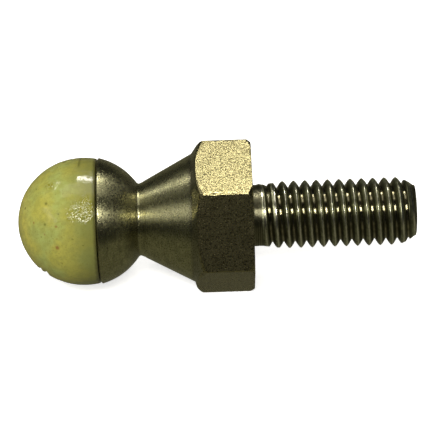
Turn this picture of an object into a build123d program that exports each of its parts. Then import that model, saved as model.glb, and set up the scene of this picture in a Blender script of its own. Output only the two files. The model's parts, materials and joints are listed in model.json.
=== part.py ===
from build123d import *
from build123d.topology import SkipClean

import os
from math import radians, sqrt, tan

# Ball stud: a one-piece steel stud with a hexagon and a threaded shank, and a nylon cap that
# snaps over a domed spigot and makes the front of the ball.
#
# Frame: the origin is the ball's centre. +X runs along the stud's axis from the ball to the
# threaded end. +Z is up, square to a hexagon flat, so two of the hexagon's corners lie on Y.
# Each turned profile is drawn on Plane.XZ as (x, radius), and revolved about X. Sizes are mm.

# Ball and cap
cap_ball_radius = 8.95
cap_nose_length = 9.30
cap_edge_break = 0.18
parting_x = 2.05
parting_gap = 0.10
steel_ball_radius = 9.10
steel_rim_chamfer = 0.20

# Spigot inside the cap, and its snap groove
spigot_radius = 5.50
spigot_clearance = 0.05
groove_start_x = 0.45
groove_end_x = 1.55
groove_depth = 0.25
groove_flank = 0.20
bead_height = 0.20
bead_side_play = 0.08

# Neck, and the cone that widens to the hexagon
neck_radius = 4.937
neck_x = 7.645
neck_fillet = 0.36
cone_half_angle = 28.1

# Hexagon, 3/4 in across flats, with a turned chamfer on its front corners
across_flats = 19.05
hex_corner_radius = 11.00
hex_corner_rounding = 1.20
front_chamfer_x = 15.60
front_chamfer_half_angle = 55.0
shoulder_x = 23.60
shoulder_chamfer = 0.60

# Plain shank and rolled thread, 3/8-16 UNC right hand, with a two-step chamfer on its end
shank_radius = 4.30
shank_fillet = 0.25
shank_end_x = 25.25
root_start_x = 26.25
pitch = 25.4 / 16
major_radius = 25.4 * 3 / 8 / 2
root_radius = 3.70
root_flat = pitch / 8
flank_angle = 30.0
run_in_curve_radius = 13.6
full_thread_x = 29.00
crest_above_axis_x = 28.04
end_taper_x = 43.95
end_chamfer_x = 45.25
end_chamfer_radius = 4.20
stud_end_x = 46.35
end_face_radius = 3.45
crest_sectors = 12

# How far a hidden end reaches into its neighbour
buried = 1.0


def radius_on_ball(x, ball_radius):
    """The radius of a ball's section at the distance x from its centre."""
    return sqrt(ball_radius**2 - x**2)


# ---- Nylon cap ----
# The outside is a ball with a slightly drawn-out nose. The inside follows the spigot at a
# running clearance, with a bead that snaps into the spigot's groove.
cap_rear_x = parting_x - parting_gap / 2
cap_rear_radius = radius_on_ball(cap_rear_x, cap_ball_radius)
bore_radius = spigot_radius + spigot_clearance
bead_start_x = groove_start_x + bead_side_play
bead_end_x = groove_end_x - bead_side_play

with BuildPart() as ball_cap:
    with BuildSketch(Plane.XZ):
        with BuildLine():
            EllipticalCenterArc((0, 0), cap_nose_length, cap_ball_radius, 90, arc_size=90)
            Line((-cap_nose_length, 0), (-bore_radius, 0))
            CenterArc((0, 0), bore_radius, 90, 90)
            Polyline(
                (0, bore_radius),
                (bead_start_x, bore_radius),
                (bead_start_x + groove_flank, bore_radius - bead_height),
                (bead_end_x - groove_flank, bore_radius - bead_height),
                (bead_end_x, bore_radius),
                (cap_rear_x, bore_radius),
                (cap_rear_x, cap_rear_radius),
            )
            ThreePointArc(
                (cap_rear_x, cap_rear_radius),
                (cap_rear_x / 2, radius_on_ball(cap_rear_x / 2, cap_ball_radius)),
                (0, cap_ball_radius),
            )
        make_face()
    revolve(axis=Axis.X)
    chamfer(ball_cap.edges().group_by(Axis.X)[-1], cap_edge_break)

ball_cap.part.label = "ball_cap"

# ---- Threaded end ----
# A turned blank with a curved run-in and an end chamfer, less one helical groove whose crests
# and roots are flat. The groove starts well inside the shank, which fills it there.
run_in_start_x = shank_end_x - 1.25
run_in_steps = 4
run_in_step = (full_thread_x - run_in_start_x) / run_in_steps
run_in_drops = [
    run_in_curve_radius - radius_on_ball(step * run_in_step, run_in_curve_radius)
    for step in range(run_in_steps, -1, -1)
]
groove_turns = 16
groove_centre_x = crest_above_axis_x - 3.5 * pitch
groove_top_radius = major_radius + buried / 8
groove_half_top = root_flat / 2 + (groove_top_radius - root_radius) * tan(radians(flank_angle))
groove_plane = Plane((groove_centre_x, 0, 0), x_dir=(0, 0, 1), z_dir=(0, 1, 0))

with SkipClean():
    with BuildPart() as threaded_end:
        with BuildSketch(Plane.XZ):
            with BuildLine():
                Polyline(
                    (run_in_start_x, 0),
                    *[
                        (run_in_start_x + step * run_in_step, major_radius - drop)
                        for step, drop in enumerate(run_in_drops)
                    ],
                    (end_taper_x, major_radius),
                    (end_chamfer_x, end_chamfer_radius),
                    (stud_end_x, end_face_radius),
                    (stud_end_x, 0),
                    close=True,
                )
            make_face()
        revolve(axis=Axis.X)
        with BuildLine() as groove_path:
            for turn in range(groove_turns):
                turn_start = (groove_centre_x + turn * pitch, 0, 0)
                Helix(pitch, pitch, major_radius, center=turn_start, direction=(1, 0, 0))
        with BuildSketch(groove_plane):
            Polygon(
                (root_radius, -root_flat / 2),
                (root_radius, root_flat / 2),
                (groove_top_radius, groove_half_top),
                (groove_top_radius, -groove_half_top),
                align=None,
            )
        sweep(path=groove_path.wires()[0], is_frenet=True, mode=Mode.SUBTRACT)
        for index in range(crest_sectors // 2):
            sector_plane = Plane.XY.rotated(((index + 0.5) * 360 / crest_sectors, 0, 0))
            split(bisect_by=sector_plane, keep=Keep.ALL)

# The sectors' outer faces are sewn into one solid, so that each turn of the crest is a row of
# short cylindrical faces. The faces on the sectors' own planes, along the axis, are left out.
outer_faces = [
    face
    for face in threaded_end.faces()
    if face.geom_type != GeomType.PLANE or abs(face.normal_at().X) > 0.5
]
thread_solid = Solid(Shell(outer_faces))

# ---- Steel stud ----
steel_face_x = parting_x + parting_gap / 2
rim_x = steel_face_x + steel_rim_chamfer
rim_radius = radius_on_ball(rim_x, steel_ball_radius)
ball_middle_x = (rim_x + neck_x) / 2
cone_end_x = front_chamfer_x
cone_end_radius = neck_radius + (cone_end_x - neck_x) * tan(radians(cone_half_angle))
flat_distance = across_flats / 2
chamfer_rise = tan(radians(front_chamfer_half_angle))
hex_start_x = front_chamfer_x - buried
corner_chamfer_x = front_chamfer_x + (hex_corner_radius - flat_distance) / chamfer_rise

with BuildPart() as ball_stud:
    with BuildSketch(Plane.YZ.offset(hex_start_x)):
        RegularPolygon(radius=flat_distance, side_count=6, major_radius=False)
    extrude(amount=shoulder_x - hex_start_x)
    with BuildSketch(Plane.XZ) as hex_envelope:
        with BuildLine():
            Polyline(
                (hex_start_x - buried, 0),
                (hex_start_x - buried, flat_distance - 2 * buried * chamfer_rise),
                (corner_chamfer_x, hex_corner_radius),
                (shoulder_x - shoulder_chamfer, hex_corner_radius),
                (shoulder_x, hex_corner_radius - shoulder_chamfer),
                (shoulder_x, 0),
                close=True,
            )
        make_face()
        front_corner = hex_envelope.vertices().group_by(Axis.Z)[-1].sort_by(Axis.X)[0]
        fillet(front_corner, hex_corner_rounding)
    revolve(axis=Axis.X, mode=Mode.INTERSECT)

    with BuildSketch(Plane.XZ):
        with BuildLine():
            CenterArc((0, 0), spigot_radius, 90, 90)
            Polyline(
                (0, spigot_radius),
                (groove_start_x, spigot_radius),
                (groove_start_x + groove_flank, spigot_radius - groove_depth),
                (groove_end_x - groove_flank, spigot_radius - groove_depth),
                (groove_end_x, spigot_radius),
                (steel_face_x, spigot_radius),
                (steel_face_x, rim_radius - steel_rim_chamfer),
                (rim_x, rim_radius),
            )
            ThreePointArc(
                (rim_x, rim_radius),
                (ball_middle_x, radius_on_ball(ball_middle_x, steel_ball_radius)),
                (neck_x, neck_radius),
            )
            Polyline(
                (neck_x, neck_radius),
                (cone_end_x, cone_end_radius),
                (shoulder_x - buried, shank_radius),
                (shank_end_x, shank_radius),
                (root_start_x, root_radius),
                (root_start_x + buried, root_radius - buried / 4),
                (root_start_x + buried, 0),
                (-spigot_radius, 0),
            )
        make_face()
    revolve(axis=Axis.X)

    rings = ball_stud.edges().filter_by(GeomType.CIRCLE)
    fillet(rings.sort_by_distance((neck_x, 0, neck_radius))[0], neck_fillet)
    rings = ball_stud.edges().filter_by(GeomType.CIRCLE)
    fillet(rings.sort_by_distance((shoulder_x, 0, shank_radius))[0], shank_fillet)

    with SkipClean():
        add(thread_solid, clean=False)

ball_stud.part.label = "ball_stud"

os.makedirs("parts", exist_ok=True)
export_step(ball_stud.part, "parts/ball_stud.step")
export_step(ball_cap.part, "parts/ball_cap.step")
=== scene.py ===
import json
import math

import bpy
import numpy as np
from mathutils import Matrix, Vector, noise


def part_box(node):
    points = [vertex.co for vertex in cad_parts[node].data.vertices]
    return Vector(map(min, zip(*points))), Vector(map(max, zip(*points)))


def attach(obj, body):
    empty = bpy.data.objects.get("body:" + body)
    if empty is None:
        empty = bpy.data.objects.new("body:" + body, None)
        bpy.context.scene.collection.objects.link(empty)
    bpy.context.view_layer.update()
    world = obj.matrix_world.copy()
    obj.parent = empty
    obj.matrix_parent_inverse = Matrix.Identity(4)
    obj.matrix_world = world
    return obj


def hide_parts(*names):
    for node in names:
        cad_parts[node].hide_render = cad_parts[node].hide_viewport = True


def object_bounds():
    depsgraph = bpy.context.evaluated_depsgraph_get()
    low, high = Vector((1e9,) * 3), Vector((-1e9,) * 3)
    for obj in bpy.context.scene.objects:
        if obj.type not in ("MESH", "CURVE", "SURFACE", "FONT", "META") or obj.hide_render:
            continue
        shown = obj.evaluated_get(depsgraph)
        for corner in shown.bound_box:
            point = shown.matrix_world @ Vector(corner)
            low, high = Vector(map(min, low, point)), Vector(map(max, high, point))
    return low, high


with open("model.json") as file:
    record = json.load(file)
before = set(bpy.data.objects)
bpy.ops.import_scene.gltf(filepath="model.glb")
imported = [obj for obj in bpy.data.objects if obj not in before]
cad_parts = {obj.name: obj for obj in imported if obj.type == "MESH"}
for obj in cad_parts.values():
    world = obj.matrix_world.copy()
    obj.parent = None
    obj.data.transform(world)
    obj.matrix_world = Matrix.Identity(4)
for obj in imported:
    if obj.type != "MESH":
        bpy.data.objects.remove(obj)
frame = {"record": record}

cad_bounds = [list(corner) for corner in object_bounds()]

# The frame is the CAD's: the ball's centre is the origin, +X runs along the axis to the thread,
# +Z is up. Lengths below are in mm unless a name says otherwise; angles in degrees are measured
# about X from +Y towards +Z.
MM = 0.001


def in_mm(vector):
    return [value / MM for value in vector]


stud_low, stud_high = (in_mm(corner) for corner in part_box("ball_stud"))
cap_low, cap_high = (in_mm(corner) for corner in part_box("ball_cap"))
mounts = {mount["name"]: mount for mount in frame["record"]["mounts"]}

# Cap, from its CAD box; its bore, bead and parting gap repeat the CAD's
nose_length = -cap_low[0]
cap_radius = cap_high[1]
cap_rear_x = cap_high[0]
cap_edge_break = 0.18
bore_radius = 5.55
bead_profile = [(0.53, 5.55), (0.73, 5.35), (1.27, 5.35), (1.47, 5.55)]

# Stud, from its CAD box and mounts
spigot_radius = -stud_low[0]
flat_distance = stud_high[2]
stud_end_x = stud_high[0]
shoulder_x = mounts["shoulder"]["pos_m"][0] / MM
major_radius = mounts["thread"]["dims"]["r_mm"]
parting_gap = 0.10
steel_face_x = cap_rear_x + parting_gap
rim_chamfer = 0.20
steel_ball_radius = 9.10
groove_profile = [(0.45, 5.50), (0.65, 5.25), (1.35, 5.25), (1.55, 5.50)]
neck_radius = 4.937
neck_x = 7.645
neck_fillet = 0.42
cone_slope = math.tan(math.radians(28.1))
chamfer_x = 15.60
chamfer_slope = math.tan(math.radians(55.0))
hex_corner_rounding = 0.28
rear_chamfer_radius = 10.40
# The real chamfer is turned a little off centre: how much further it reaches at each angle
uneven_angles = np.arange(0, 361, 30)
uneven_depths = [0.0, 0.1, -0.05, 0.20, -0.15, 0.35, 0.10, -0.1, -0.60, -0.20, -0.3, 0.1, 0.0]
shank_radius = 4.30
shank_fillet = 0.25
thread_start_x = 25.05
pitch = 25.4 / 16
root_radius = 3.70
crest_above_axis_x = 28.04


# ---- Profiles and rings ----
def smooth_min(a, b, width):
    """The smaller of a and b, rounded where they cross over the given width."""
    share = np.clip(0.5 + 0.5 * (b - a) / width, 0, 1)
    return b * (1 - share) + a * share - width * share * (1 - share)


def smooth_max(a, b, width):
    return -smooth_min(-a, -b, width)


def smooth_step(value, low, high):
    share = np.clip((value - low) / (high - low), 0, 1)
    return share * share * (3 - 2 * share)


def arc_rows(radius, start_x, end_x, count):
    """Rows (x, r) on a ball about the origin, from start_x to end_x, evenly spaced in angle."""
    start = math.acos(start_x / radius)
    end = math.acos(end_x / radius)
    angles = np.linspace(start, end, count)
    return [(radius * math.cos(a), radius * math.sin(a)) for a in angles]


def line_rows(start, end, count):
    """Rows after start, up to and with end."""
    shares = np.linspace(0, 1, count + 1)[1:]
    return [tuple(start[k] + (end[k] - start[k]) * s for k in (0, 1)) for s in shares]


def bezier(a, b, c, share):
    return a * (1 - share) ** 2 + 2 * b * share * (1 - share) + c * share**2


def fillet_rows(before, corner, after, length, count=5):
    """Rows that round the corner between two straight runs, over the given length each way."""
    before, corner, after = (np.array(p, float) for p in (before, corner, after))
    start = corner + (before - corner) / np.linalg.norm(before - corner) * length
    end = corner + (after - corner) / np.linalg.norm(after - corner) * length
    return [tuple(bezier(start, corner, end, s)) for s in np.linspace(0, 1, count)]


def ring_mesh(name, x_rows, r_rows, angles_deg, first_x, last_x):
    """A closed mesh of rings about X, with a pole at each end. Each row has an x and a radius
    for each angle, in mm."""
    rows, columns = x_rows.shape
    angles = np.radians(angles_deg)
    points = np.stack([x_rows, r_rows * np.cos(angles), r_rows * np.sin(angles)], axis=-1)
    poles = np.array([[first_x, 0, 0], [last_x, 0, 0]], float)
    vertices = np.concatenate([points.reshape(-1, 3), poles]) * MM
    column = np.arange(columns)
    following = (column + 1) % columns
    faces = []
    for row in range(rows - 1):
        here, there = row * columns, (row + 1) * columns
        quads = [here + column, here + following, there + following, there + column]
        faces += np.stack(quads, 1).tolist()
    first, last, final = rows * columns, rows * columns + 1, (rows - 1) * columns
    faces += np.stack([np.full(columns, first), following, column], 1).tolist()
    faces += np.stack([final + column, final + following, np.full(columns, last)], 1).tolist()
    mesh = bpy.data.meshes.new(name)
    mesh.from_pydata(vertices.tolist(), [], faces)
    mesh.shade_smooth()
    piece = bpy.data.objects.new(name, mesh)
    bpy.context.scene.collection.objects.link(piece)
    return piece


def surface_noise(x_rows, r_rows, angles_deg, scale, octaves=1):
    """Smooth noise, about -1 to 1, at each point of the rings. Scale is in features per mm."""
    angles = np.radians(angles_deg)
    points = np.stack([x_rows, r_rows * np.cos(angles), r_rows * np.sin(angles)], -1) * scale
    flat = [noise.fractal(Vector(p), 1.0, 2.0, octaves) for p in points.reshape(-1, 3).tolist()]
    return np.array(flat).reshape(x_rows.shape)


def add_attribute(piece, name, values):
    """Stores one number a vertex, for the material to read. The poles get 0."""
    attribute = piece.data.attributes.new(name, "FLOAT", "POINT")
    padded = np.zeros(len(piece.data.vertices), np.float32)
    padded[: values.size] = values.reshape(-1)
    attribute.data.foreach_set("value", padded)


def angle_gap(angles_deg, centre):
    return (angles_deg - centre + 180) % 360 - 180


def distance_on_ball(x_rows, angles_deg, x, angle):
    """Distance in mm, along the cap's surface, from the point at x and angle."""
    radius = cap_radius * math.sqrt(max(0.0, 1 - (x / nose_length) ** 2))
    across = np.radians(angle_gap(angles_deg, angle)) * radius
    slope = math.sqrt(1 + (x / max(radius, 1.0)) ** 2)
    return np.hypot((x_rows - x) * slope, np.broadcast_to(across, x_rows.shape))


# ---- Nylon cap ----
cap_columns = 360
cap_angles = np.arange(cap_columns) * 360 / cap_columns
nose_angles = np.radians(np.linspace(0.9, 90, 100))
outer_rows = [(-nose_length * math.cos(a), cap_radius * math.sin(a)) for a in nose_angles]
edge_start_x = cap_rear_x - cap_edge_break
outer_rows += arc_rows(cap_radius, 0.15, edge_start_x, 14)
edge_start = outer_rows[-1]
edge_end = (cap_rear_x, edge_start[1] - cap_edge_break)
edge_corner = (cap_rear_x, edge_start[1] - 0.03)
edge_points = [np.array(point) for point in (edge_start, edge_corner, edge_end)]
edge_rows = [tuple(bezier(*edge_points, share)) for share in (0.2, 0.4, 0.6, 0.8, 1.0)]
rear_rows = line_rows(edge_end, (cap_rear_x, bore_radius + 0.1), 8)
inner_rows = [(cap_rear_x, bore_radius + 0.02), (cap_rear_x - 0.02, bore_radius)]
inner_rows += line_rows(inner_rows[-1], bead_profile[-1], 3)[:-1]
inner_rows += bead_profile[::-1] + [(0.25, bore_radius)]
dome_angles = np.radians(np.linspace(0, 87, 30))
inner_rows += [(-bore_radius * math.sin(a), bore_radius * math.cos(a)) for a in dome_angles]
cap_profile = np.array(outer_rows + edge_rows + rear_rows + inner_rows)
cap_x = np.repeat(cap_profile[:, :1], cap_columns, 1)
cap_r = np.repeat(cap_profile[:, 1:], cap_columns, 1)

# Lumps, gouges and the scratch fade out before the parting line. No mark reaches the bore.
outside = np.zeros(len(cap_profile))
outside[: len(outer_rows)] = 1 - smooth_step(cap_profile[: len(outer_rows), 0], 1.1, 1.8)
outside = outside[:, None]
on_outside = (np.arange(len(cap_profile)) < len(outer_rows))[:, None]
lump_height, ripple_height, inward_shift = 0.022, 0.008, 0.02
lumps = surface_noise(cap_x, cap_r, cap_angles, 0.55, 2) * lump_height
ripples = surface_noise(cap_x, cap_r, cap_angles, 2.1, 2) * ripple_height
# Gouges: x, angle, length along the ring, width, depth. From 45 to 225 degrees the cap faces the
# camera, and its marks are placed after the photograph; elsewhere they are made up.
gouges = [
    (-6.35, 225.0, 1.6, 0.15, 0.28),
    (-5.55, 226.0, 2.0, 0.24, 0.42),
    (-0.4, 47.0, 0.30, 0.30, 0.10),
    (-6.9, 216.0, 0.30, 0.22, 0.07),
    (-7.4, 66.0, 0.30, 0.25, 0.05),
    (-4.2, 301.0, 0.50, 0.22, 0.06),
    (-6.6, 20.0, 0.35, 0.50, 0.05),
    (-2.2, 262.0, 0.70, 0.20, 0.06),
]
dents = np.zeros_like(cap_x)
for x, angle, length, width, depth in gouges:
    local_radius = cap_radius * math.sqrt(1 - (x / nose_length) ** 2)
    along = np.radians(angle_gap(cap_angles, angle)) * local_radius / length
    dents += depth * np.exp(-(along**2) - ((cap_x - x) / width) ** 2)
shrink = (np.minimum(lumps + ripples - inward_shift, 0) - dents) * outside
reach = np.hypot(cap_x, cap_r)
nose_flat = 0.03
cap = ring_mesh(
    "nylon_cap",
    cap_x * (1 + shrink / reach),
    cap_r * (1 + shrink / reach),
    cap_angles,
    -nose_length + nose_flat,
    -bore_radius,
)

# Stains, specks and rust, placed as the gouges are: x, angle, size
stain_spots = [
    (-0.4, 126.0, 1.5),
    (0.5, 133.0, 0.95),
    (-1.3, 131.0, 0.8),
    (0.7, 117.0, 0.9),
    (1.5, 127.0, 1.0),
    (-4.3, 97.0, 0.8),
    (-5.2, 287.0, 0.9),
]
speck_spots = [
    (-4.76, 116.6, 0.22),
    (-7.88, 110.5, 0.20),
    (-4.98, 138.3, 0.18),
    (-3.05, 128.7, 0.12),
    (-2.42, 61.5, 0.30),
    (-0.25, 49.0, 0.36),
    (-1.6, 56.0, 0.14),
    (-3.3, 72.0, 0.12),
    (-6.2, 92.0, 0.12),
    (-5.6, 152.0, 0.10),
    (-1.2, 152.0, 0.13),
    (0.2, 158.0, 0.10),
    (-2.9, 178.0, 0.12),
    (-6.3, 250.0, 0.16),
    (-1.1, 330.0, 0.14),
    (-3.9, 10.0, 0.18),
]
rust_spots = [
    (-3.39, 161.2, 0.27),
    (-3.42, 140.5, 0.16),
    (-6.6, 136.0, 0.14),
    (-5.1, 149.0, 0.12),
    (-2.6, 275.0, 0.2),
]


def spots(places, edge=0.6):
    """A mask that is 1 out to edge times a spot's size, and fades to 0 at 1.5 times it."""
    mask = np.zeros_like(cap_x)
    for x, angle, size in places:
        distance = distance_on_ball(cap_x, cap_angles, x, angle)
        mask = np.maximum(mask, 1 - smooth_step(distance, size * edge, size * 1.5))
    return mask * on_outside


# One scratch runs part of the way round, slanting a little
scratch_slant = 0.004
scratch_width = 0.15
scratch_line = cap_x + 0.2 + scratch_slant * angle_gap(cap_angles, 60)
scratch = np.exp(-((scratch_line / scratch_width) ** 2))
scratch = scratch * (1 - smooth_step(np.abs(angle_gap(cap_angles, 63)), 12, 20)) * outside
add_attribute(cap, "stain", spots(stain_spots, 0.2))
add_attribute(cap, "speck", np.maximum(spots(speck_spots, 0.4), scratch))
add_attribute(cap, "rust", spots(rust_spots))

# ---- Steel stud ----
# The columns bunch up at the hexagon's six corners, which are on Y and every 60 degrees from it.
column_step = 3.0
corner_steps = [0.25, 0.55, 0.9, 1.3, 1.8]
stud_angles = set(np.round(np.arange(360 / column_step) * column_step, 3))
for corner in range(0, 360, 60):
    for step in corner_steps:
        stud_angles |= {round((corner - step) % 360, 3), round((corner + step) % 360, 3)}
stud_angles = np.array(sorted(stud_angles))
from_corner = np.abs((stud_angles + 30) % 60 - 30)
corner_angle = np.radians(from_corner)
half_side = math.radians(30)
hex_radius = flat_distance / np.cos(half_side - corner_angle)
rounding_centre = (flat_distance - hex_corner_rounding) / math.cos(half_side)
centre_offset = rounding_centre * np.sin(corner_angle)
reach_squared = np.maximum(hex_corner_rounding**2 - centre_offset**2, 0)
rounded = rounding_centre * np.cos(corner_angle) + np.sqrt(reach_squared)
tangent_angle = math.atan2(
    hex_corner_rounding * 0.5,
    rounding_centre + hex_corner_rounding * math.cos(half_side),
)
hex_radius = np.where(corner_angle < tangent_angle, np.minimum(rounded, hex_radius), hex_radius)

rim_x = steel_face_x + rim_chamfer
rim_radius = math.sqrt(steel_ball_radius**2 - rim_x**2)
face_edge = (steel_face_x, rim_radius - rim_chamfer)
cone_start = (neck_x, neck_radius)
# The cone meets the turned chamfer of the hexagon
gap_at_chamfer = flat_distance - neck_radius - (chamfer_x - neck_x) * cone_slope
cone_end_x = chamfer_x - gap_at_chamfer / (chamfer_slope - cone_slope)
cone_end = (cone_end_x, neck_radius + (cone_end_x - neck_x) * cone_slope)
ball_before_neck = arc_rows(steel_ball_radius, rim_x, neck_x, 60)
cone_after_neck = (neck_x + 2, neck_radius + 2 * cone_slope)

edge_round = 0.05
spigot_angles = np.radians(np.linspace(6, 90, 15))
turned = [(-spigot_radius * math.cos(a), spigot_radius * math.sin(a)) for a in spigot_angles]
turned += groove_profile
turned += line_rows(groove_profile[-1], (steel_face_x - edge_round, spigot_radius), 2)
turned += [(steel_face_x, spigot_radius + edge_round)]
turned += line_rows((steel_face_x, spigot_radius), (steel_face_x, face_edge[1] - 0.06), 8)
turned += fillet_rows((steel_face_x, 5), face_edge, (rim_x, rim_radius), edge_round, 4)
turned += fillet_rows(face_edge, (rim_x, rim_radius), ball_before_neck[3], edge_round, 4)
turned += [row for row in ball_before_neck if rim_x + 0.1 < row[0] < neck_x - 0.30]
turned += fillet_rows(ball_before_neck[-2], cone_start, cone_after_neck, neck_fillet, 11)
turned += line_rows(turned[-1], cone_end, 40)[:-1]
turned = np.array(turned)
# A narrow tool ring just past the neck, on the cone only
tool_ring_x, tool_ring_width, tool_ring_depth = 8.35, 0.10, 0.035
ring_depth = tool_ring_depth * np.exp(-(((turned[:, 0] - tool_ring_x) / tool_ring_width) ** 2))
turned[:, 1] -= np.where(turned[:, 0] > 8.0, ring_depth, 0)

columns = len(stud_angles)
x_list = [np.repeat(turned[:, :1], columns, 1)]
r_list = [np.repeat(turned[:, 1:], columns, 1)]


def rows_so_far():
    return sum(len(x) for x in x_list)


def add_row(x, r):
    x_list.append(np.broadcast_to(x, (1, columns)).astype(float))
    r_list.append(np.broadcast_to(r, (1, columns)).astype(float))


# Turned chamfer up to the hexagon, a little off centre, with a rounding that is wide at the
# corners
cornerness = smooth_step(hex_radius, flat_distance, flat_distance / math.cos(half_side))
front_x = chamfer_x + (hex_radius - flat_distance) / chamfer_slope
front_x = front_x + np.interp(stud_angles, uneven_angles, uneven_depths)
round_length = 0.10 + 0.40 * cornerness
junction = np.array([np.full(columns, cone_end[0]), np.full(columns, cone_end[1])])
front_edge = np.array([front_x, hex_radius])
run_in = front_edge - junction
run_in_length = np.hypot(*run_in)
round_length = np.minimum(round_length, run_in_length * 0.7)
round_start = front_edge - run_in / run_in_length * round_length
round_end = np.array([front_x + round_length, hex_radius])
for share in (0.0, 0.04, 0.10, 0.35, 0.65, 0.9):
    row = junction + (round_start - junction) * share
    add_row(row[0], row[1] - 0.01 * math.exp(-share * 40))
hex_first_row = rows_so_far()
for share in np.linspace(0, 1, 8):
    row = bezier(round_start, front_edge, round_end, share)
    add_row(*row)
rear_x = shoulder_x - np.maximum(hex_radius - rear_chamfer_radius, 0)
rear_radius = np.minimum(hex_radius, rear_chamfer_radius)
body_start = round_end[0]
# The rear edge: how far its rounding reaches, then how far its rows are set in
rear_round = 0.14
rear_step, rear_drop, rear_middle_drop = 0.05, 0.012, 0.022
for share in np.linspace(0, 1, 27)[1:]:
    add_row(body_start + (rear_x - rear_round - body_start) * share, hex_radius)
add_row(rear_x - rear_step, hex_radius - rear_drop)
rear_middle = ((rear_x + shoulder_x) / 2, (hex_radius + rear_radius) / 2)
add_row(*(middle - rear_middle_drop for middle in rear_middle))
add_row(shoulder_x - rear_drop, rear_radius - rear_step)
add_row(shoulder_x, rear_radius - rear_round)
hex_last_row = rows_so_far()
shoulder_fillet_radius = shank_radius + shank_fillet
for share in (0.2, 0.4, 0.6, 0.8, 0.92, 1.0):
    face_radius = (rear_radius - rear_round) * (1 - share) + shoulder_fillet_radius * share
    add_row(shoulder_x, face_radius)
for turn in np.radians([22.5, 45, 67.5, 90]):
    fillet_x = shoulder_x + shank_fillet * (1 - math.cos(turn))
    add_row(fillet_x, shoulder_fillet_radius - shank_fillet * math.sin(turn))
thread_first_row = rows_so_far()
# The plain shank has faint rings, and a burr towards the top of the picture
ring_height, ring_spacing = 0.02, 0.31
burr_height, burr_angle, burr_spread, burr_x, burr_length = 0.13, 45, 28, 24.6, 0.3
for share in np.linspace(0, 1, 25)[1:]:
    ring_x = shoulder_x + shank_fillet + (thread_start_x - shoulder_x - shank_fillet) * share
    wave = math.sin(2 * math.pi * (ring_x - shoulder_x) / ring_spacing)
    ring = ring_height * wave * math.sin(math.pi * share)
    around_burr = (angle_gap(stud_angles, burr_angle) / burr_spread) ** 2
    burr = burr_height * np.exp(-around_burr - ((ring_x - burr_x) / burr_length) ** 2)
    add_row(ring_x, shank_radius + ring + burr)

# Thread: a 60 degree form with rounded crests and roots, right hand
samples_per_turn = 22
thread_xs = np.arange(thread_start_x + 0.07, stud_end_x - 0.03, pitch / samples_per_turn)
thread_x = np.repeat(thread_xs[:, None], columns, 1)
crest_line = crest_above_axis_x + pitch * (stud_angles - 90) / 360
turns = (thread_x - crest_line) / pitch
from_crest = np.abs(turns - np.round(turns)) * pitch
pitch_radius = major_radius - 0.5155
# The flanks stand a little high, and the wide rounding of the crests brings them down again
flank_allowance = 0.16
crest_limit, crest_rounding = major_radius + 0.083, 0.75
root_limit, root_rounding = root_radius - 0.05, 0.14
flank = pitch_radius + flank_allowance + (pitch / 4 - from_crest) * math.tan(math.radians(60))
thread_r = smooth_min(flank, np.full_like(flank, crest_limit), crest_rounding)
thread_r = smooth_max(thread_r, np.full_like(flank, root_limit), root_rounding)
# The crests' greatest radius from the run-in to the end chamfer: x, radius
envelope_points = [
    (25.0, 4.30),
    (25.5, 4.40),
    (26.45, 4.50),
    (27.0, 4.62),
    (27.85, 4.70),
    (28.6, 4.74),
    (29.5, 4.80),
    (43.75, 4.80),
    (44.44, 4.54),
    (45.14, 4.26),
    (45.7, 3.91),
    (46.0, 3.66),
    (46.35, 3.44),
]
envelope = np.interp(thread_xs, *np.array(envelope_points).T)[:, None]
thread_r = smooth_min(thread_r, np.repeat(envelope, columns, 1), 0.10)
root_fill = np.interp(thread_xs, [25.2, 25.55, 26.15], [shank_radius, 4.15, 3.55])[:, None]
thread_r = smooth_max(thread_r, np.repeat(root_fill, columns, 1), 0.10)
x_list.append(thread_x)
r_list.append(thread_r)
end_radius = thread_r[-1]
add_row(stud_end_x - 0.01, end_radius - 0.05)
add_row(stud_end_x, end_radius - 0.14)
for radius in (2.6, 1.8, 1.0, 0.4):
    add_row(stud_end_x, radius)

stud_x = np.concatenate(x_list)
stud_r = np.concatenate(r_list)

# Handling marks: shallow waves on the hexagon, knocks on its edges, the shank and the crests
row_number = np.arange(len(stud_x))
on_hex = ((row_number >= hex_first_row) & (row_number < hex_last_row))[:, None]
on_thread = (row_number >= thread_first_row)[:, None]
waves = surface_noise(stud_x, stud_r, stud_angles, 0.5, 2)
knocks = surface_noise(stud_x, stud_r, stud_angles, 1.6, 2)
near_corner = np.exp(-((from_corner / 1.6) ** 2))
near_end = np.exp(-(((stud_x - shoulder_x) / 0.25) ** 2))
hollows = 0.006 * np.maximum(waves + 0.6, 0)
edge_knocks = 0.10 * np.maximum(knocks - 0.15, 0) * np.maximum(near_corner, near_end)
stud_r = stud_r - on_hex * (hollows + edge_knocks)
on_shank = on_thread * (1 - smooth_step(stud_x, thread_start_x - 0.3, thread_start_x + 0.6))
past_fillet = smooth_step(stud_x, shoulder_x + 0.2, shoulder_x + 0.5)
stud_r = stud_r + on_shank * past_fillet * 0.025 * knocks
crestness = smooth_step(stud_r, major_radius - 0.25, major_radius)
stud_r = stud_r - on_thread * crestness * 0.09 * np.maximum(knocks - 0.25, 0)

stud = ring_mesh("steel_stud", stud_x, stud_r, stud_angles, -spigot_radius, stud_end_x)


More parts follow.
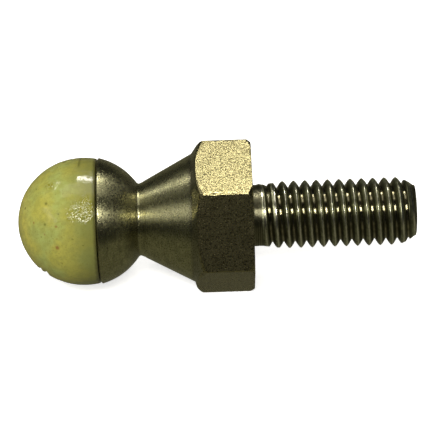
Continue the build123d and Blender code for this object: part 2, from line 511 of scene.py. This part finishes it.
# ---- Materials ----
class Shader:
    """A Principled material, with short calls for the nodes that feed it."""

    def __init__(self, name, **constants):
        self.material = bpy.data.materials.new(name)
        self.material.use_nodes = True
        self.nodes = self.material.node_tree.nodes
        self.links = self.material.node_tree.links
        self.bsdf = self.nodes["Principled BSDF"]
        for socket, value in constants.items():
            self.bsdf.inputs[socket.replace("_", " ")].default_value = value
        coordinates = self.nodes.new("ShaderNodeTexCoord").outputs["Object"]
        self.mm = self.vector("SCALE", coordinates, Scale=1 / MM)
        parts = self.node("ShaderNodeSeparateXYZ", {"Vector": self.mm})
        self.x, self.y, self.z = parts.outputs

    def node(self, kind, inputs, **settings):
        made = self.nodes.new(kind)
        for key, value in settings.items():
            setattr(made, key, value)
        for socket, value in inputs.items():
            target = made.inputs[socket]
            if isinstance(value, bpy.types.NodeSocket):
                self.links.new(value, target)
            else:
                target.default_value = value
        return made

    def vector(self, operation, a, b=None, Scale=None):
        inputs = {0: a}
        if b is not None:
            inputs[1] = b
        if Scale is not None:
            inputs["Scale"] = Scale
        made = self.node("ShaderNodeVectorMath", inputs, operation=operation)
        return made.outputs["Value" if operation == "LENGTH" else "Vector"]

    def math(self, operation, a, b=0.0):
        return self.node("ShaderNodeMath", {0: a, 1: b}, operation=operation).outputs[0]

    def combine(self, x, y, z):
        return self.node("ShaderNodeCombineXYZ", {0: x, 1: y, 2: z}).outputs[0]

    def noise(self, scale, detail=2.0, roughness=0.5, vector=None, distortion=0.0):
        inputs = {
            "Vector": vector or self.mm,
            "Scale": scale,
            "Detail": detail,
            "Roughness": roughness,
            "Distortion": distortion,
        }
        return self.node("ShaderNodeTexNoise", inputs).outputs[0]

    def cells(self, scale, vector):
        inputs = {"Vector": vector, "Scale": scale}
        return self.node("ShaderNodeTexVoronoi", inputs).outputs["Distance"]

    def between(self, value, low, high, at_low=0.0, at_high=1.0):
        """Runs smoothly from at_low to at_high as value goes from low to high."""
        inputs = {0: value, 1: low, 2: high, 3: at_low, 4: at_high}
        return self.node("ShaderNodeMapRange", inputs, interpolation_type="SMOOTHSTEP").outputs[0]

    def attribute(self, name):
        return self.node("ShaderNodeAttribute", {}, attribute_name=name).outputs["Fac"]

    def mix(self, share, a, b):
        """The colour a where share is 0, and b where it is 1."""
        made = self.node("ShaderNodeMix", {}, data_type="RGBA")
        for socket, value in ((0, share), (6, a), (7, b)):
            if isinstance(value, bpy.types.NodeSocket):
                self.links.new(value, made.inputs[socket])
            else:
                made.inputs[socket].default_value = value if socket == 0 else (*value, 1)
        return made.outputs[2]

    def bump(self, height, depth, normal=None):
        """A bump whose height runs over the given depth in mm."""
        inputs = {"Height": height, "Strength": 1.0, "Distance": depth * MM}
        if normal is not None:
            inputs["Normal"] = normal
        return self.node("ShaderNodeBump", inputs).outputs[0]

    def feed(self, **sockets):
        for socket, value in sockets.items():
            self.links.new(value, self.bsdf.inputs[socket.replace("_", " ")])


def nylon():
    s = Shader(
        "nylon_moulded",
        Subsurface_Weight=0.18,
        Subsurface_Scale=1.2 * MM,
        Subsurface_Radius=(1.0, 0.9, 0.35),
        IOR=1.52,
        Specular_IOR_Level=0.7,
    )
    broad = s.between(s.noise(0.22, 3.0), 0.40, 0.62)
    base = s.mix(broad, (0.46, 0.43, 0.088), (0.375, 0.42, 0.12))
    wandering_x = s.math("ADD", s.x, s.math("MULTIPLY", s.noise(0.5), 2.0))
    yellow_nose = s.between(wandering_x, -7.6, -5.2, 0.75, 0.0)
    base = s.mix(yellow_nose, base, (0.58, 0.51, 0.10))
    mottle = s.between(s.noise(1.3, 5.0, 0.7), 0.38, 0.62)
    base = s.mix(s.math("MULTIPLY", mottle, 0.55), base, (0.29, 0.30, 0.072))
    # Painted shade: the cap's colour darkens from x = -3.4 towards its rear edge
    painted_shade = s.between(s.x, -3.4, 1.9, 0.0, 0.80)
    base = s.mix(painted_shade, base, (0.20, 0.205, 0.055))
    flecks = s.between(s.noise(4.0, 2.0), 0.60, 0.70, 0.0, 0.45)
    base = s.mix(flecks, base, (0.21, 0.20, 0.045))
    stain = s.math("MULTIPLY", s.attribute("stain"), s.between(s.noise(1.6, 3.0), 0.36, 0.56))
    base = s.mix(stain, base, (0.27, 0.26, 0.03))
    base = s.mix(s.math("MULTIPLY", s.attribute("speck"), 0.75), base, (0.10, 0.10, 0.025))
    base = s.mix(s.math("MULTIPLY", s.attribute("rust"), 0.8), base, (0.26, 0.11, 0.04))
    # The cap darkens over its last half millimetre before the parting line, along an uneven edge
    uneven_x = s.math("ADD", s.x, s.math("MULTIPLY", s.noise(1.5, 3.0), 0.3))
    parting_darkening = s.between(uneven_x, 1.55, 2.05, 0.0, 0.75)
    base = s.mix(parting_darkening, base, (0.07, 0.066, 0.02))
    fine = s.noise(3.2, 3.0, 0.6)
    peel = s.noise(0.9, 2.0)
    scratch_vector = s.vector("MULTIPLY", s.mm, (0.35, 5.0, 2.2))
    scuffs = s.between(s.noise(1.0, 2.0, vector=scratch_vector, distortion=0.6), 0.62, 0.70)
    crackle_vector = s.vector("ADD", s.mm, s.combine(fine, fine, peel))
    crackle = s.math("MULTIPLY", s.cells(1.9, crackle_vector), s.attribute("stain"))
    wear = s.math("ADD", s.noise(1.7, 3.0), s.math("MULTIPLY", scuffs, 0.3))
    roughness = s.between(wear, 0.3, 0.9, 0.10, 0.22)
    normal = s.bump(peel, 0.022)
    normal = s.bump(fine, 0.007, normal)
    normal = s.bump(scuffs, 0.006, normal)
    normal = s.bump(crackle, 0.085, normal)
    s.feed(Base_Color=base, Roughness=roughness, Normal=normal)
    return s.material


def steel(name, **constants):
    return Shader(name, Metallic=1.0, **constants)


def turned_steel():
    s = steel("steel_turned", Anisotropic=0.8, Anisotropic_Rotation=0.25)
    radius = s.vector("LENGTH", s.combine(0.0, s.y, s.z))
    across_marks = s.math("ADD", s.x, radius)
    around = s.combine(across_marks, s.math("MULTIPLY", s.y, 0.10), s.math("MULTIPLY", s.z, 0.10))
    marks = s.noise(7.0, 3.0, 0.65, vector=around)
    broken = s.combine(across_marks, s.math("MULTIPLY", s.y, 0.45), s.math("MULTIPLY", s.z, 0.45))
    glints = s.noise(8.0, 3.0, 0.75, vector=broken)
    tarnish = s.between(s.noise(0.9, 4.0, 0.7), 0.35, 0.65)
    base = s.mix(tarnish, (0.59, 0.57, 0.33), (0.47, 0.46, 0.26))
    base = s.mix(s.between(marks, 0.35, 0.6, 0.45, 0.0), base, (0.24, 0.22, 0.12))
    past_shoulder = s.between(s.x, shoulder_x - 0.1, shoulder_x + 0.1, 0.0, 0.6)
    base = s.mix(past_shoulder, base, (0.17, 0.165, 0.10))
    near_neck = s.between(s.x, neck_x - 1.9, neck_x - 0.7)
    until_neck = s.between(s.x, neck_x - 0.1, neck_x + 0.1, 0.6, 0.0)
    beside_neck = s.math("MULTIPLY", near_neck, until_neck)
    before_chamfer = s.between(s.x, chamfer_x - 1.0, chamfer_x - 0.5, 0.0, 0.7)
    base = s.mix(s.math("MAXIMUM", beside_neck, before_chamfer), base, (0.24, 0.225, 0.15))
    pits = s.between(s.noise(6.0, 3.0, 0.7), 0.52, 0.68)
    base = s.mix(s.math("MULTIPLY", pits, 0.9), base, (0.10, 0.095, 0.045))
    glint_wear = s.math("ADD", glints, s.math("MULTIPLY", tarnish, 0.1))
    roughness = s.between(glint_wear, 0.35, 0.75, 0.22, 0.36)
    shank_roughness = s.between(s.x, shoulder_x - 0.1, shoulder_x + 0.1, 0.0, 0.10)
    roughness = s.math("ADD", roughness, shank_roughness)
    normal = s.bump(marks, 0.012)
    normal = s.bump(glints, 0.012, normal)
    normal = s.bump(pits, 0.006, normal)
    tangent = s.node("ShaderNodeTangent", {}, direction_type="RADIAL", axis="X").outputs[0]
    s.feed(Base_Color=base, Roughness=roughness, Normal=normal, Tangent=tangent)
    return s.material


def hexagon_steel():
    s = steel("steel_hexagon")
    grain = s.noise(7.0, 3.0, 0.7)
    pits = s.between(s.noise(5.0, 2.0, 0.6, distortion=0.4), 0.51, 0.60)
    broad = s.between(s.noise(0.35, 3.0), 0.35, 0.65)
    base = s.mix(broad, (0.48, 0.43, 0.23), (0.435, 0.395, 0.207))
    base = s.mix(s.between(grain, 0.40, 0.54, 0.85, 0.0), base, (0.20, 0.17, 0.07))
    base = s.mix(s.math("MULTIPLY", pits, 0.90), base, (0.10, 0.085, 0.04))
    roughness = s.between(grain, 0.3, 0.7, 0.23, 0.31)
    normal = s.bump(grain, 0.003)
    normal = s.bump(pits, -0.004, normal)
    s.feed(Base_Color=base, Roughness=roughness, Normal=normal)
    return s.material


def thread_steel():
    s = steel("steel_thread")
    angle = s.math("ARCTAN2", s.z, s.y)
    along = s.math("DIVIDE", s.math("SUBTRACT", s.x, crest_above_axis_x - pitch / 4), pitch)
    phase = s.math("FRACT", s.math("SUBTRACT", along, s.math("DIVIDE", angle, 2 * math.pi)))
    # Distance along X from the crest, from -half a pitch to +half a pitch
    turn = s.math("SUBTRACT", s.math("FRACT", s.math("ADD", phase, 0.5)), 0.5)
    from_crest = s.math("MULTIPLY", turn, pitch)
    grain = s.noise(3.0, 3.0, 0.7)
    sway = s.math("MULTIPLY", s.math("SUBTRACT", s.noise(0.9), 0.5), 0.10)
    wander = s.math("ADD", from_crest, sway)
    # Painted highlight: a thin band just past each crest, made smoother and painted bright. The
    # flanks are coloured darker than the crests, and the roots lighter again.
    ridge_highlight = s.between(s.math("ABSOLUTE", s.math("SUBTRACT", wander, 0.10)), 0.07, 0.16, 1.0, 0.0)
    root = s.between(s.math("ABSOLUTE", from_crest), pitch / 2 - 0.20, pitch / 2 - 0.10)
    dome = s.between(s.math("ABSOLUTE", from_crest), 0.18, 0.42, 1.0, 0.0)
    base = s.mix(dome, (0.15, 0.15, 0.085), (0.42, 0.43, 0.27))
    base = s.mix(ridge_highlight, base, (0.82, 0.80, 0.64))
    base = s.mix(root, base, (0.55, 0.52, 0.38))
    dirt = s.between(s.noise(1.3, 4.0, 0.65), 0.42, 0.62, 0.0, 0.5)
    base = s.mix(s.math("MULTIPLY", dirt, s.math("SUBTRACT", 1.0, ridge_highlight)), base, (0.09, 0.09, 0.05))
    base = s.mix(s.between(grain, 0.30, 0.55, 0.5, 0.0), base, (0.05, 0.047, 0.03))
    roughness = s.between(ridge_highlight, 0.0, 1.0, 0.40, 0.20)
    roughness = s.math("SUBTRACT", roughness, s.math("MULTIPLY", root, 0.30))
    normal = s.bump(grain, 0.012)
    s.feed(Base_Color=base, Roughness=roughness, Normal=normal)
    return s.material


cap.data.materials.append(nylon())
for material in (turned_steel(), hexagon_steel(), thread_steel()):
    stud.data.materials.append(material)
# Most of the plain shank and the end face keep the turned steel
hexagon_zone, thread_zone = 1, 2
turned_shank_rows = 18
end_face_rows = 7
zones = np.zeros(len(stud.data.polygons), np.int32)
rows = np.arange(len(zones)) // columns
zones[(rows >= hex_first_row) & (rows < hex_last_row)] = hexagon_zone
thread_rows = (rows >= thread_first_row + turned_shank_rows) & (rows < len(stud_x) - end_face_rows)
zones[thread_rows] = thread_zone
stud.data.polygons.foreach_set("material_index", zones)

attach(stud, "stud")
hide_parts("ball_stud")
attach(cap, "cap")
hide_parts("ball_cap")

# ---- Stage ----
low, high = (Vector(corner) for corner in cad_bounds)
centre = (low + high) / 2
aim = Vector((centre.x, 0, 0))
floor_half = 8.0
floor_mesh = bpy.data.meshes.new("floor")
corners = [(x * floor_half, y * floor_half, low.z) for x, y in ((-1, -1), (1, -1), (1, 1), (-1, 1))]
floor_mesh.from_pydata(corners, [], [(0, 1, 2, 3)])
floor = bpy.data.objects.new("floor", floor_mesh)
bpy.context.scene.collection.objects.link(floor)
paper = Shader("floor_paper", Roughness=0.9)
paper.feed(Base_Color=paper.mix(paper.noise(0.02, 2.0), (0.90, 0.90, 0.90), (0.92, 0.92, 0.92)))
paper.bsdf.inputs["Emission Color"].default_value = (1, 1, 1, 1)
paper.bsdf.inputs["Emission Strength"].default_value = 0.70
floor.data.materials.append(paper.material)
# The metal reflects a dark room, so the floor is kept out of reflected and bounced light
floor.visible_glossy = False
floor.visible_diffuse = False


def direction(azimuth, elevation):
    """Unit vector towards the camera's side at azimuth 0, turning towards +X."""
    azimuth, elevation = math.radians(azimuth), math.radians(elevation)
    level = math.cos(elevation)
    return Vector((math.sin(azimuth) * level, -math.cos(azimuth) * level, math.sin(elevation)))


def look(thing, place, target):
    thing.location = place
    thing.rotation_euler = (target - place).to_track_quat("-Z", "Y").to_euler()


def softbox(name, towards, width, height, radiance, shiny=True):
    """A rectangular light, its width and height in degrees as the object sees them. One that is
    not shiny leaves the metal alone and only fills the nylon and the floor."""
    light = bpy.data.lights.new(name, "AREA")
    light.shape = "RECTANGLE"
    light.size = 2 * light_distance * math.tan(math.radians(width / 2))
    light.size_y = 2 * light_distance * math.tan(math.radians(height / 2))
    light.color = light_colour
    light.energy = radiance * math.pi * light.size * light.size_y
    lamp = bpy.data.objects.new(name, light)
    bpy.context.scene.collection.objects.link(lamp)
    look(lamp, aim + towards * light_distance, aim)
    lamp.visible_glossy = shiny


view_elevation = 43.7
light_distance = 1.6
light_colour = (1.0, 0.97, 0.89)
softbox("softbox_front", direction(-5, view_elevation + 13), 32, 11, 20)
softbox("softbox_back", direction(175, 180 - (view_elevation + 83)), 19, 10, 16)
softbox("softbox_top", direction(0, view_elevation + 62), 60, 24, 1.0)
softbox("softbox_left", Vector((-0.60, 0.535, 0.595)).normalized(), 11, 9, 5)
softbox("softbox_side", direction(-72, 30), 32, 8, 1.1)
softbox("fill_left", direction(-75, 40), 40, 40, 1.6, shiny=False)
softbox("fill_front", direction(-40, 10), 60, 20, 2.3, shiny=False)

# The room the metal reflects: a dull glow below, near black above. The camera sees it pale.
world = bpy.data.worlds.new("studio")
bpy.context.scene.world = world
world.use_nodes = True
nodes, links = world.node_tree.nodes, world.node_tree.links
coordinate = nodes.new("ShaderNodeTexCoord")
split = nodes.new("ShaderNodeSeparateXYZ")
ramp = nodes.new("ShaderNodeValToRGB")
room_stops = [(0.40, (0.13, 0.126, 0.085, 1)), (0.52, (0.019, 0.020, 0.018, 1))]
for index, (position, colour) in enumerate(room_stops):
    ramp.color_ramp.elements[index].position = position
    ramp.color_ramp.elements[index].color = colour
remap = nodes.new("ShaderNodeMapRange")
remap.inputs[1].default_value, remap.inputs[2].default_value = -1, 1
path = nodes.new("ShaderNodeLightPath")
mix = nodes.new("ShaderNodeMix")
mix.data_type = "RGBA"
mix.inputs[7].default_value = (0.92, 0.92, 0.92, 1)
links.new(coordinate.outputs["Generated"], split.inputs[0])
links.new(split.outputs[2], remap.inputs[0])
links.new(remap.outputs[0], ramp.inputs[0])
links.new(path.outputs["Is Camera Ray"], mix.inputs[0])
links.new(ramp.outputs[0], mix.inputs[6])
links.new(mix.outputs[2], nodes["Background"].inputs[0])

bpy.context.scene.view_settings.view_transform = "Standard"

camera_data = bpy.data.cameras.new("camera")
# The lens keeps the object as large as a 209.5 mm one does from 0.355 m
camera_distance = 0.30
matched_lens, matched_distance = 209.5, 0.355
camera_data.lens = matched_lens * camera_distance / matched_distance
camera_data.sensor_width = 36.0
camera_data.clip_start = 0.01
camera = bpy.data.objects.new("camera", camera_data)
bpy.context.scene.collection.objects.link(camera)
sight_offset = Vector((0.12, -0.071, -0.070)) * MM
sight = aim + sight_offset
look(camera, sight + direction(0, view_elevation) * camera_distance, sight)
roll = math.radians(-1.95)
rolled = camera.rotation_euler.to_matrix() @ Matrix.Rotation(roll, 3, "Z")
camera.rotation_euler = rolled.to_euler()
bpy.context.scene.camera = camera
